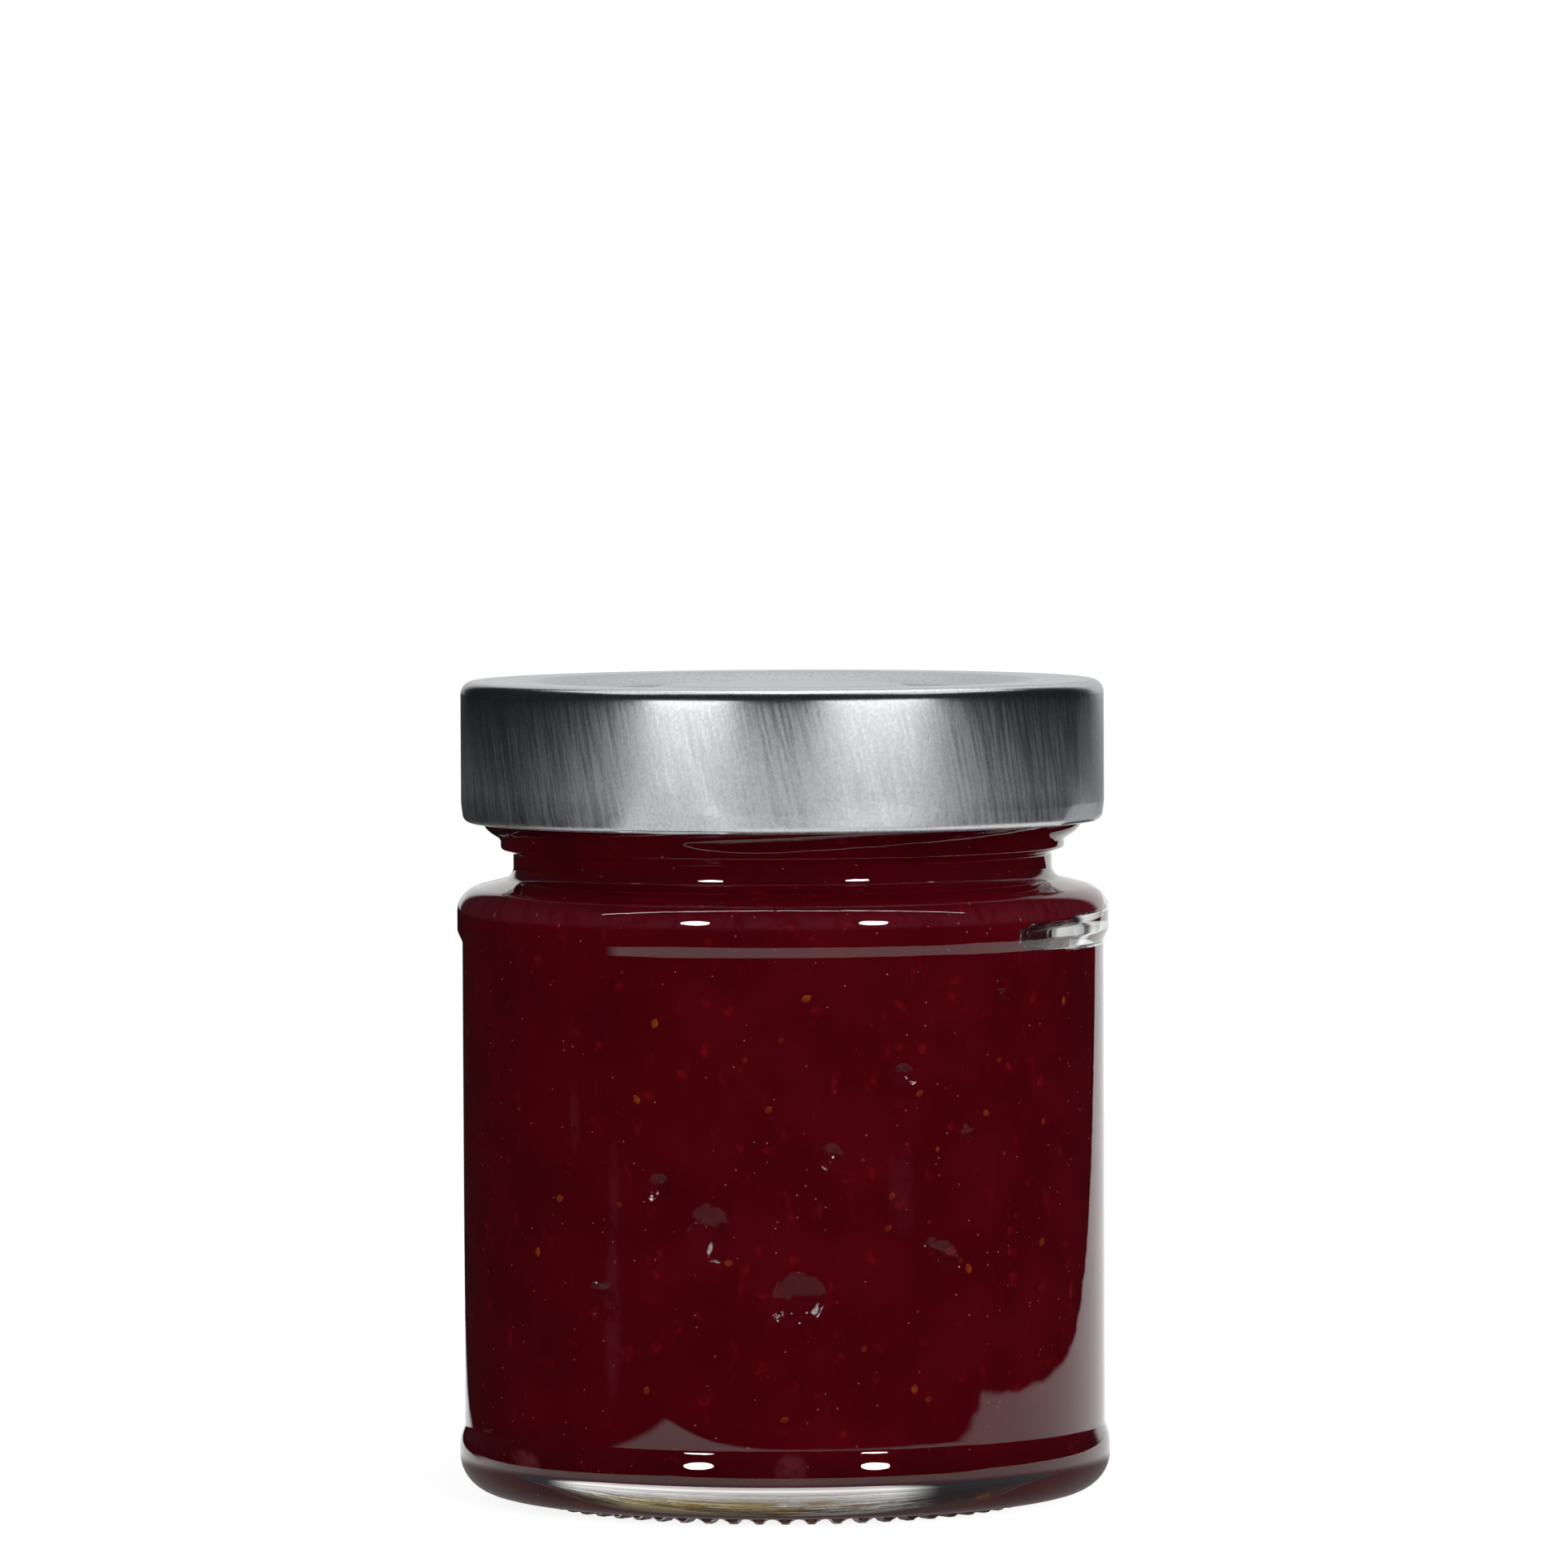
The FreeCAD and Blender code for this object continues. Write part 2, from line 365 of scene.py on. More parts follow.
def soft_step(tree, value, start, end):
    """0 before start and 1 beyond end, with a smooth run between. End may be the lower one."""
    step = node(tree, "ShaderNodeMapRange", interpolation_type="SMOOTHSTEP")
    step.inputs["From Min"].default_value = start
    step.inputs["From Max"].default_value = end
    tree.links.new(value, step.inputs["Value"])
    return step.outputs["Result"]


def blend_colours(tree, mask, first, second):
    """A colour mix, where each of the two is a socket or a plain linear colour."""
    mix = node(tree, "ShaderNodeMix", data_type="RGBA", blend_type="MIX")
    tree.links.new(mask, mix.inputs[0])
    for index, value in ((6, first), (7, second)):
        if isinstance(value, tuple):
            mix.inputs[index].default_value = (*value, 1)
        else:
            tree.links.new(value, mix.inputs[index])
    return mix.outputs[2]


def blend_values(tree, mask, first, second):
    """A value that runs from first to second as the mask runs from 0 to 1."""
    mix = node(tree, "ShaderNodeMapRange")
    mix.inputs["To Min"].default_value = first
    mix.inputs["To Max"].default_value = second
    tree.links.new(mask, mix.inputs["Value"])
    return mix.outputs["Result"]


print("material helpers ready")

# %% [markdown]
# ## Clear glass
# Soda glass bends light at an index of about 1.5 and has almost no tint. Its shine is real
# reflection, so the shader is a plain transmission with no roughness. A faint slow ripple makes
# the reflections wander a little, as they do in pressed glass. The underside is wavier still and
# bends the jam's colour into grey and brown rings; those are painted light, given here as a tint.

# %% Glass finish
BASE_TINT_FULL = 3.2 * MM
BASE_TINT_END = 4.2 * MM
GLASS_CLEAR = (0.99, 0.995, 0.99)
GLASS_PAINTED_GREY = (0.42, 0.37, 0.33)
GLASS_PAINTED_BROWN = (0.62, 0.45, 0.14)

glass_finish, tree, shader, where = new_material("clear_glass")
_, _, up = split_axes(tree, where)
_, ringed = around_axis(tree, where)
# painted light: grey and brown rings on the underside stand for light bent through the glass
under = soft_step(tree, up, BASE_TINT_END, BASE_TINT_FULL)
lines = cloud_mask(tree, ringed, 420.0, 4.0, 0.44, 0.53)
brown = cloud_mask(tree, ringed, 130.0, 2.0, 0.48, 0.56)
painted_streak = blend_colours(tree, brown, GLASS_PAINTED_GREY, GLASS_PAINTED_BROWN)
lined = math_node(tree, "MULTIPLY", under, lines)
glass_colour = blend_colours(tree, lined, GLASS_CLEAR, painted_streak)
tree.links.new(glass_colour, shader.inputs["Base Color"])
shader.inputs["Roughness"].default_value = 0.0
shader.inputs["IOR"].default_value = 1.5
shader.inputs["Transmission Weight"].default_value = 1.0
ripple = node(tree, "ShaderNodeBump", Strength=0.15, Distance=0.02 * MM)
tree.links.new(cloud_mask(tree, where, 160.0, 1.0, 0.2, 0.8), ripple.inputs["Height"])
tree.links.new(ripple.outputs["Normal"], shader.inputs["Normal"])
print("glass index", shader.inputs["IOR"].default_value)

# %% [markdown]
# ## Light through glass
# Light that reaches the jam through the glass would be slow to trace. Rays that only carry light,
# the shadow rays and diffuse rays, pass straight through a transparent shader instead.

# %% Let light through
rays = tree.nodes.new("ShaderNodeLightPath")
carrying = math_node(
    tree, "MAXIMUM", rays.outputs["Is Shadow Ray"], rays.outputs["Is Diffuse Ray"],
)
straight = tree.nodes.new("ShaderNodeBsdfTransparent")
either = tree.nodes.new("ShaderNodeMixShader")
tree.links.new(carrying, either.inputs[0])
tree.links.new(shader.outputs[0], either.inputs[1])
tree.links.new(straight.outputs[0], either.inputs[2])
tree.links.new(either.outputs[0], tree.nodes["Material Output"].inputs["Surface"])
print("glass nodes", len(tree.nodes))

# %% [markdown]
# ## The glass jar
# The jar is one closed wall, from the pushed-up base round the heel, the label panel, the
# shoulder bead, the neck and the finish, over the lip and back down the inside. The label panel
# lies a little below the heel and the bead, so that a label is not rubbed in transit.

# %% Jar sizes
BODY_RADIUS = jar_high.x / MM
LABEL_RADIUS = BODY_RADIUS - 0.58
NECK_RADIUS = 31.0
FINISH_RADIUS = 32.45
JAR_HEIGHT = jar_high.z / MM
SHOULDER_FOOT = 70.3
SHOULDER_TOP = 71.95
NECK_TOP = 74.7
FINISH_FOOT = 75.25
THREADS_TOP = 83.4
BORE_RADIUS = 29.2
NECK_INNER = 28.7
INNER_RADIUS = 34.7
INNER_SLOPE = (SHOULDER_TOP - SHOULDER_FOOT) / (BODY_RADIUS - NECK_RADIUS)
SHOULDER_RUN = 2.8
SHOULDER_WALL = 2.38
INNER_EDGE = SHOULDER_FOOT + INNER_SLOPE * SHOULDER_RUN - SHOULDER_WALL
INNER_END = INNER_EDGE + INNER_SLOPE * (INNER_RADIUS - NECK_INNER)
FLOOR_HEIGHT = 4.8
FLOOR_CROWN = 6.0
RING_RADIUS = 27.3
FLOOR_ROUND = 5.5
INNER_ROUND = 2.6

INSIDE = (
    (0, FLOOR_CROWN, 0),
    (INNER_RADIUS, FLOOR_HEIGHT, FLOOR_ROUND),
    (INNER_RADIUS, INNER_EDGE, INNER_ROUND),
    (NECK_INNER, INNER_END, INNER_ROUND),
)
OUTSIDE = (
    (0, 2.2, 0),
    (RING_RADIUS - 2.8, 1.3, 2.0),
    (RING_RADIUS - 1.7, 1.0, 0.4),
    (RING_RADIUS - 1.2, 0, 0.6),
    (RING_RADIUS + 1.2, 0, 0.6),
    (RING_RADIUS + 1.7, 1.0, 0.4),
    (BODY_RADIUS, 1.3, 4.4),
    (BODY_RADIUS, 7.3, 4.0),
    (LABEL_RADIUS, 8.9, 0.8),
    (LABEL_RADIUS, 9.2, 0),
    (LABEL_RADIUS, 64.1, 0),
    (LABEL_RADIUS, 64.5, 0.6),
    (BODY_RADIUS, 65.8, 0.9),
    (BODY_RADIUS, SHOULDER_FOOT, 2.9),
    (NECK_RADIUS, SHOULDER_TOP, 1.4),
    (NECK_RADIUS, NECK_TOP, 0.4),
    (FINISH_RADIUS, FINISH_FOOT, 0.4),
    (FINISH_RADIUS, THREADS_TOP, 0),
    (FINISH_RADIUS, JAR_HEIGHT, 0.95),
    (BORE_RADIUS, JAR_HEIGHT, 0.95),
)
print("wall", round(LABEL_RADIUS - INNER_RADIUS, 2), "mm, floor", FLOOR_HEIGHT, "mm")


# %% Turn the jar
THREAD_ROWS = 0.3
FOOT_ROWS = 0.5
PLAIN_ROWS = 12.0


def jar_rows(radius, height):
    """Rows lie close where the threads will rise and where the feet will be notched."""
    if radius > FINISH_RADIUS - 0.5 and FINISH_FOOT < height < THREADS_TOP:
        return THREAD_ROWS
    if height < 1.2 and radius > RING_RADIUS - 3:
        return FOOT_ROWS
    return PLAIN_ROWS


jar = bmesh.new()
rounded_chain(jar, OUTSIDE + INSIDE[::-1])
add_rows(jar, jar_rows)
print("rows in the section", len(jar.verts))
turn_round(jar)

# %% [markdown]
# ## Threads
# Four short threads climb round the finish, one for each lug of the lid. They could be swept
# bodies joined on, but a join leaves a hard line. Raising the wall's own points by a smooth
# ridge gives the soft root that moulded glass has.

# %% Raise the threads
THREAD_COUNT = 4
THREAD_FIRST = -24.0
THREAD_LENGTH = 120.0
THREAD_RUN_OUT = 25.0
THREAD_RISE = 1.8 / 64
THREAD_HEIGHT = 1.95
THREAD_LOW_CREST = 77.474
THREAD_SINK = 0.2
RIDGE_FALL = 0.615
RIDGE_EASE = 0.018
RIDGE_REACH = 2.4


def ridge(angle, height):
    """How far the threads stand out of the wall at an angle and height, in millimetres."""
    highest = 0
    for index in range(THREAD_COUNT):
        along = (angle - THREAD_FIRST - index * 360 / THREAD_COUNT) % 360
        if along > THREAD_LENGTH:
            continue
        run = min(1, along / THREAD_RUN_OUT, (THREAD_LENGTH - along) / THREAD_RUN_OUT)
        crest = (THREAD_HEIGHT + THREAD_SINK) * math.sin(run * math.pi / 2) - THREAD_SINK
        off = height - THREAD_LOW_CREST - THREAD_RISE * along
        stands = crest - RIDGE_FALL * off ** 2 + RIDGE_EASE * off ** 4
        if abs(off) < RIDGE_REACH:
            highest = max(highest, stands)
    return highest


for vert in jar.verts:
    angle, radius, height = place(vert.co)
    if radius > FINISH_RADIUS - 0.1 and FINISH_FOOT < height < THREADS_TOP:
        vert.co = point_at(angle, radius + ridge(angle, height), height)
print("threads raised", THREAD_COUNT)

# %% [markdown]
# ## Feet
# The jar stands on a ring that is notched all round, so that it grips and lets air in below.

# %% Notch the feet
FEET_COUNT = 60
NOTCH_DEPTH = 0.65
NOTCH_RADIUS = 1.05
RING_HALF_WIDTH = 1.7

for vert in jar.verts:
    angle, radius, height = place(vert.co)
    if abs(radius - RING_RADIUS) < RING_HALF_WIDTH and height < 1:
        pitch = 360 / FEET_COUNT
        off = math.radians((angle % pitch) - pitch / 2) * RING_RADIUS
        cut = NOTCH_RADIUS ** 2 - off ** 2
        if cut > 0:
            top = NOTCH_DEPTH - NOTCH_RADIUS + math.sqrt(cut)
            vert.co.z = max(vert.co.z, top * MM)
finish_piece("glass_jar", jar, [glass_finish], "jar", sharp=75)

# %% [markdown]
# ## Jam
# Jam touches the glass all over, so there is no shine between them. A mesh that stops exactly at
# the glass would leave a hair of air, and the jar would look silvered. The jam therefore reaches
# a little way into the wall, and its shader has no reflection of its own. Where air is really
# trapped the jam is pressed back from the glass, and those faces and the open top are wet.

# %% Jam finishes
JAM_DEEP = (0.0560, 0.0006, 0.0030)
JAM_BRIGHT = (0.0740, 0.0009, 0.0040)
JAM_FIBRE = (0.125, 0.0030, 0.0060)
JAM_PULP = (0.135, 0.0032, 0.0055)
JAM_FILM_SHEEN = (0.125, 0.0180, 0.0260)
JAM_SPECK = (0.260, 0.0750, 0.0850)
JAM_NECK_PAINTED_LIGHT = (0.105, 0.0020, 0.0060)
PAINTED_GLINT = (0.75, 0.66, 0.66)
NECK_GLOW_START = 70 * MM
NECK_GLOW_FULL = 76 * MM


def jam_base_colour(tree, where):
    """Cloudy dark red, painted a little brighter in the neck, where light comes through more
    easily.
    """
    clouds = cloud_mask(tree, where, 110.0, 6.0, 0.35, 0.68)
    base = blend_colours(tree, clouds, JAM_DEEP, JAM_BRIGHT)
    _, _, up = split_axes(tree, where)
    # painted light: the jam in the neck is brightened where light comes through
    in_neck = soft_step(tree, up, NECK_GLOW_START, NECK_GLOW_FULL)
    patches = blend_values(tree, cloud_mask(tree, where, 90.0, 3.0, 0.4, 0.6), 0.3, 0.9)
    return blend_colours(tree, math_node(tree, "MULTIPLY", in_neck, patches), base, JAM_NECK_PAINTED_LIGHT)


def jam_colour(tree, where):
    """The dark red with threads of fruit, bits of pulp, painted pale film reflections and tiny
    specks.
    """
    drawn_out = stretched(tree, where, (1.0, 1.0, 0.35), (12, 20, 0))
    threads = cloud_mask(tree, drawn_out, 620.0, 6.0, 0.61, 0.80)
    fibred = blend_colours(tree, threads, jam_base_colour(tree, where), JAM_FIBRE)
    pulp = fleck_mask(tree, shaken(tree, where, 900.0, 1.6 * MM), 330.0, 0.30, 0.45)
    uneven = math_node(tree, "MULTIPLY", pulp, cloud_mask(tree, where, 900.0, 3.0, 0.35, 0.75))
    pulpy = blend_colours(tree, uneven, fibred, JAM_PULP)
    # painted reflection: thin air films between jam and glass show as pale streaks
    film_sheen = node(tree, "ShaderNodeAttribute", attribute_name="film_sheen")
    thinned = cloud_mask(tree, where, 700.0, 4.0, 0.25, 0.60)
    thin = math_node(tree, "MULTIPLY", film_sheen.outputs["Fac"], thinned)
    sheened = blend_colours(tree, thin, pulpy, JAM_FILM_SHEEN)
    specks = fleck_mask(tree, where, 900.0, 0.12, 0.34)
    return blend_colours(tree, specks, sheened, JAM_SPECK)


jam_finish, tree, shader, where = new_material("jam_against_glass")
shader.inputs["Roughness"].default_value = 0.5
shader.inputs["Specular IOR Level"].default_value = 0.0
tree.links.new(jam_colour(tree, where), shader.inputs["Base Color"])
print("jam nodes", len(tree.nodes))

# %% [markdown]
# ## Wet jam
# Where the jam doesn't touch the glass it has a skin of thin syrup, so it shines a little. Pale
# spots in its colour are painted glints, standing for drops of syrup that give a bubble its
# sparkle.

# %% Wet finish
wet_finish, tree, shader, where = new_material("wet_jam")
shader.inputs["IOR"].default_value = 1.24
# painted glints: pale spots in the colour, for drops of syrup
glint_spots = fleck_mask(tree, where, 1300.0, 0.20, 0.16)
glinted_colour = blend_colours(tree, glint_spots, jam_colour(tree, where), PAINTED_GLINT)
tree.links.new(glinted_colour, shader.inputs["Base Color"])
grain = cloud_mask(tree, where, 900.0, 3.0, 0.3, 0.7)
tree.links.new(blend_values(tree, grain, 0.015, 0.05), shader.inputs["Roughness"])
lumps = node(tree, "ShaderNodeBump", Strength=0.3, Distance=0.05 * MM)
tree.links.new(fleck_mask(tree, where, 800.0, 0.50, 0.45), lumps.inputs["Height"])
tree.links.new(lumps.outputs["Normal"], shader.inputs["Normal"])
print("wet jam index", round(shader.inputs["IOR"].default_value, 2))

# %% [markdown]
# ## The bright base
# Seen edge on, the thick base looks silvery and not red. Jam bends light a little less than glass
# does, so a ray that runs almost along the floor is mirrored whole and never enters the jam. The
# floor of the jam is therefore red face on and a mirror at grazing angles, which a Layer Weight
# tells apart. The mirror is drawn out in dark, silver and orange bands, which are painted
# reflection in its colour; the underside of a pressed base is never quite flat, and a bump waves
# it.

# %% Base finish
GRAZING_START = 0.62
GRAZING_FULL = 0.70
FLOOR_FLAT_FULL = 26.3 * MM
FLOOR_FLAT_END = 28.7 * MM
BASE_PAINTED_DARK = (0.10, 0.075, 0.06)
BASE_PAINTED_SILVER = (0.88, 0.88, 0.82)
BASE_PAINTED_ORANGE = (0.42, 0.20, 0.03)

base_finish, tree, shader, where = new_material("jam_on_base")
shader.inputs["Specular IOR Level"].default_value = 0.0
from_axis, ringed = around_axis(tree, where)
swell = node(tree, "ShaderNodeBump", Strength=0.6, Distance=0.12 * MM)
tree.links.new(cloud_mask(tree, ringed, 420.0, 4.0, 0.30, 0.70), swell.inputs["Height"])
tree.links.new(swell.outputs["Normal"], shader.inputs["Normal"])
facing = node(tree, "ShaderNodeLayerWeight", Blend=0.5)
grazing = soft_step(tree, facing.outputs["Facing"], GRAZING_START, GRAZING_FULL)
flat_part = soft_step(tree, from_axis, FLOOR_FLAT_END, FLOOR_FLAT_FULL)
mirrored = math_node(tree, "MULTIPLY", grazing, flat_part)
# painted reflection: dark, silver and orange streaks in the mirror's colour
lines = cloud_mask(tree, ringed, 380.0, 5.0, 0.42, 0.53)
painted_bands = blend_colours(tree, lines, BASE_PAINTED_DARK, BASE_PAINTED_SILVER)
bits = cloud_mask(tree, where, 240.0, 3.0, 0.56, 0.62)
painted_mirror = blend_colours(tree, bits, painted_bands, BASE_PAINTED_ORANGE)
base_colour = blend_colours(tree, mirrored, jam_colour(tree, where), painted_mirror)
tree.links.new(base_colour, shader.inputs["Base Color"])
tree.links.new(mirrored, shader.inputs["Metallic"])
tree.links.new(blend_values(tree, mirrored, 0.5, 0.06), shader.inputs["Roughness"])
print("jam finishes", jam_finish.name, wet_finish.name, base_finish.name)

# %% [markdown]
# ## The jam body
# The jam has the section of the jar's inside, a hair larger, and a flat top at its level.

# %% Turn the jam
INTO_WALL = 0.08
JAM_LEVEL = jam_high.z / MM
BORE_FLARE = BORE_RADIUS - NECK_INNER
JAM_TOP_RADIUS = NECK_INNER + BORE_FLARE * (JAM_LEVEL - INNER_END) / (JAR_HEIGHT - INNER_END)
BUBBLE_ROWS = 0.52
FILLING_ROWS = 2.0


def jam_rows(radius, height):
    """Fine rows down the side for the bubbles, and coarser ones across the top and the floor."""
    if radius > NECK_INNER - 1 and height < SHOULDER_FOOT:
        return BUBBLE_ROWS
    return FILLING_ROWS


jam = bmesh.new()
rounded_chain(jam, (
    (0, FLOOR_CROWN - INTO_WALL, 0),
    (INNER_RADIUS + INTO_WALL, FLOOR_HEIGHT - INTO_WALL, FLOOR_ROUND + INTO_WALL),
    (INNER_RADIUS + INTO_WALL, INNER_EDGE + INTO_WALL, INNER_ROUND + INTO_WALL),
    (NECK_INNER + INTO_WALL, INNER_END + INTO_WALL, INNER_ROUND - INTO_WALL),
    (JAM_TOP_RADIUS + INTO_WALL, JAM_LEVEL, 0),
    (0, JAM_LEVEL, 0),
))
add_rows(jam, jam_rows)
print("rows in the section", len(jam.verts))
turn_round(jam)

# %% [markdown]
# ## Trapped air
# Bubbles, a long pocket under the shoulder and a small one at the heel are held against the
# glass. Each is a dent in the jam: the points near its middle move back by a shallow cap. A
# bubble is round, with a squareness of 2, and the higher numbers give boxier pockets.

# %% Places of the bubbles
# angle, height, half width, half height, depth, slant, squareness
AIR = (
    (-13.9, 33.4, 2.2, 3.1, 0.6, 0, 2),
    (2.4, 25.9, 2.7, 2.9, 0.7, 20, 2),
    (30.2, 30.7, 1.1, 2.3, 0.4, -50, 2),
    (-23.3, 38.4, 1.2, 1.5, 0.4, 20, 2),
    (8.9, 42.0, 1.1, 1.3, 0.4, 0, 2),
    (22.3, 51.1, 1.3, 1.0, 0.35, 15, 2),
    (35.4, 44.1, 0.9, 0.8, 0.35, 0, 2),
    (-35.6, 26.6, 1.3, 1.0, 0.35, 0, 2),
    (-60.8, 58.3, 0.7, 0.9, 0.3, 0, 2),
    (43.7, 59.2, 0.8, 0.9, 0.3, 0, 2),
    (115, 48, 1.4, 1.7, 0.9, 10, 2),
    (148, 33, 1.8, 2.1, 1.0, 0, 2),
    (176, 52, 1.1, 1.3, 0.7, 25, 2),
    (-150, 41, 1.3, 1.5, 0.8, 0, 2),
    (-121, 27, 1.9, 1.6, 0.9, -20, 2),
    (-98, 50, 1.0, 1.2, 0.6, 0, 2),
    (88, 66.0, 24.0, 1.5, 3.2, 0, 4),
    (81, 7.2, 1.2, 0.8, 0.5, 10, 2),
    (160, 6.4, 3.0, 1.0, 0.6, 0, 3),
)
AIR_REACH = 26.0
AIR_TALLEST = 4.0
ROUND = 2


def air_depth(angle, height):
    """Depth of the trapped air at an angle and height on the jam's side, in millimetres."""
    deepest = 0
    for middle, level, half_width, half_height, depth, slant, square in AIR:
        across = math.radians(apart(angle, middle)) * INNER_RADIUS
        up = height - level
        if abs(across) > AIR_REACH or abs(up) > AIR_TALLEST:
            continue
        lean = math.radians(slant)
        along = up * math.cos(lean) + across * math.sin(lean)
        aside = across * math.cos(lean) - up * math.sin(lean)
        ragged = noise.noise(Vector((across * 0.8, up, middle)))
        wobble = 1 + (0.14 if square == ROUND else 0.02) * ragged
        sideways = abs(aside / half_width / wobble) ** square
        near = sideways + abs(along / half_height / wobble) ** square
        if near < 1:
            dish = (1 - near) ** (0.9 if square == ROUND else 0.5)
            uneven = 1
            if square > ROUND:
                uneven += 0.03 * noise.noise(Vector((across * 0.6, up, middle + 9)))
            deepest = max(deepest, INTO_WALL + depth * uneven * dish)
    return deepest


print("bubbles and pockets", len(AIR))

# %% [markdown]
# ## Films: painted reflection
# Here and there the jam has only just parted from the glass, which shows as a thin pale streak
# of reflected light. It has no depth to model, so the streak is painted: its strength is written
# on the points, and the finish paints a pale reflection there.

# %% Press the bubbles in and mark the films
AIR_TOP = 68.2
HEEL_TOP = 20

# pale streaks of painted reflection, where the jam has parted from the glass
# angle, height, half width, half height, strength
FILM_SHEENS = (
    (-32.5, 38.0, 0.7, 6.5, 0.22), (-33.0, 24.0, 1.2, 10.5, 0.28), (-41.5, 46.0, 0.8, 4.5, 0.25),
    (22.0, 38.0, 1.8, 5.5, 0.16), (1.0, 6.6, 2.0, 2.0, 0.8), (-57, 6.2, 2.8, 1.0, 1.0),
    (0.0, 68.1, 400.0, 0.6, 0.32),
)
sheen_layer = jam.verts.layers.float.new("film_sheen")
pressed = set()
shifts = []
for vert in jam.verts:
    angle, radius, height = place(vert.co)
    for middle, level, half_width, half_height, strength in FILM_SHEENS:
        across = math.radians(apart(angle, middle)) * INNER_RADIUS
        near = (across / half_width) ** 2 + ((height - level) / half_height) ** 2
        if near < 1 and radius > NECK_INNER:
            vert[sheen_layer] = strength * (1 - near ** 2)
    if radius > NECK_INNER and FLOOR_HEIGHT < height < AIR_TOP:
        depth = air_depth(angle, height)
        if depth > 0:
            outward = Vector((vert.co.x, vert.co.y, 0)).normalized()
            push = vert.normal if height < HEEL_TOP else outward
            shifts.append((vert, push * depth * MM))
            pressed.add(vert)
for vert, shift in shifts:
    vert.co -= shift
for face in jam.faces:
    middle = face.calc_center_median()
    if middle.z > jam_high.z - 0.2 * MM or any(vert in pressed for vert in face.verts):
        face.material_index = 1
    elif middle.z < (FLOOR_CROWN + 0.6) * MM and face.normal.z < -0.6:
        face.material_index = 2
print("points pressed in", len(pressed))
finish_piece("jam_body", jam, [jam_finish, wet_finish, base_finish], "jam", sharp=60)

# %% [markdown]
# ## Tinplate
# The lid is pressed from bare tinplate: a satin metal with a faint rolling grain. The press has
# twisted the grain a little on the skirt and polished it off the rim and the top.

# %% Tinplate finish
GRAIN_TWIST = 5.75
TIN_DARK = (0.54, 0.55, 0.57)
TIN_LIGHT = (0.66, 0.67, 0.68)
TIN_SPARKLE = (0.76, 0.77, 0.78)

tin_finish, tree, shader, where = new_material("satin_tinplate")
shader.inputs["Metallic"].default_value = 1.0
shader.inputs["Specular Tint"].default_value = (0.62, 0.63, 0.64, 1)
_, _, up = split_axes(tree, where)
twist = node(tree, "ShaderNodeVectorRotate", rotation_type="Z_AXIS")
tree.links.new(where, twist.inputs["Vector"])
tree.links.new(math_node(tree, "MULTIPLY", up, GRAIN_TWIST), twist.inputs["Angle"])
fine_grain = stretched(tree, twist.outputs["Vector"], (1.0, 1.0, 0.05))
broad_grain = stretched(tree, twist.outputs["Vector"], (1.0, 1.0, 0.3))
streaks = cloud_mask(tree, fine_grain, 2600.0, 4.0, 0.32, 0.68)
blotches = cloud_mask(tree, broad_grain, 260.0, 4.0, 0.3, 0.7)
speckle = cloud_mask(tree, where, 2600.0, 3.0, 0.30, 0.72)
glitter = fleck_mask(tree, where, 2600.0, 0.45, 0.35)
tin = blend_colours(tree, streaks, TIN_DARK, TIN_LIGHT)
crystals = math_node(tree, "ADD", speckle, glitter, clamp=True)
frosted = math_node(tree, "MULTIPLY", crystals, 0.8)
tin_colour = blend_colours(tree, frosted, tin, TIN_SPARKLE)
tree.links.new(tin_colour, shader.inputs["Base Color"])
print("tinplate nodes", len(tree.nodes))

# %% [markdown]
# ## Polish
# The skirt has been handled more, so it is dullest a little above its foot and brighter towards
# the rim. A ramp over the height gives the roughness, and the grain roughens it further.

# %% Polish the tinplate
# share of the height from the foot, roughness
TIN_POLISH = (
    (0.0, 0.33), (0.10, 0.37), (0.25, 0.44), (0.55, 0.36),
    (0.80, 0.29), (0.90, 0.25), (0.93, 0.20), (1.0, 0.18),
)
GRAIN_FULL = 0.84
GRAIN_END = 0.94

level = node(tree, "ShaderNodeMapRange")
level.inputs["From Min"].default_value = lid_low.z
level.inputs["From Max"].default_value = lid_high.z
tree.links.new(up, level.inputs["Value"])
grained = soft_step(tree, level.outputs["Result"], GRAIN_END, GRAIN_FULL)
polish = tree.nodes.new("ShaderNodeValToRGB")
tree.links.new(level.outputs["Result"], polish.inputs["Fac"])
while len(polish.color_ramp.elements) < len(TIN_POLISH):
    polish.color_ramp.elements.new(0.5)
for element, (share, rough) in zip(polish.color_ramp.elements, TIN_POLISH):
    element.position = share
    element.color = (rough, rough, rough, 1)
rough_streaks = math_node(tree, "MULTIPLY", streaks, 0.10)
rough_blotches = math_node(tree, "MULTIPLY", blotches, 0.05)
worn = math_node(tree, "ADD", rough_streaks, rough_blotches)
worn = math_node(tree, "MULTIPLY", worn, blend_values(tree, grained, 0.3, 1.0))
roughness = math_node(tree, "ADD", polish.outputs["Color"], worn)
tree.links.new(roughness, shader.inputs["Roughness"])
scuff = node(tree, "ShaderNodeBump", Strength=0.25, Distance=0.012 * MM)
rubbed = math_node(tree, "MULTIPLY", math_node(tree, "ADD", streaks, glitter), grained)
tree.links.new(rubbed, scuff.inputs["Height"])
tree.links.new(scuff.outputs["Normal"], shader.inputs["Normal"])
print("polish steps", len(polish.color_ramp.elements))

# %% [markdown]
# ## The lid
# One sheet, a quarter of a millimetre thick, drawn into a cap: a safety button in the middle, a
# sunk panel, a raised rim, a straight skirt and an inward curl that hides the cut edge.

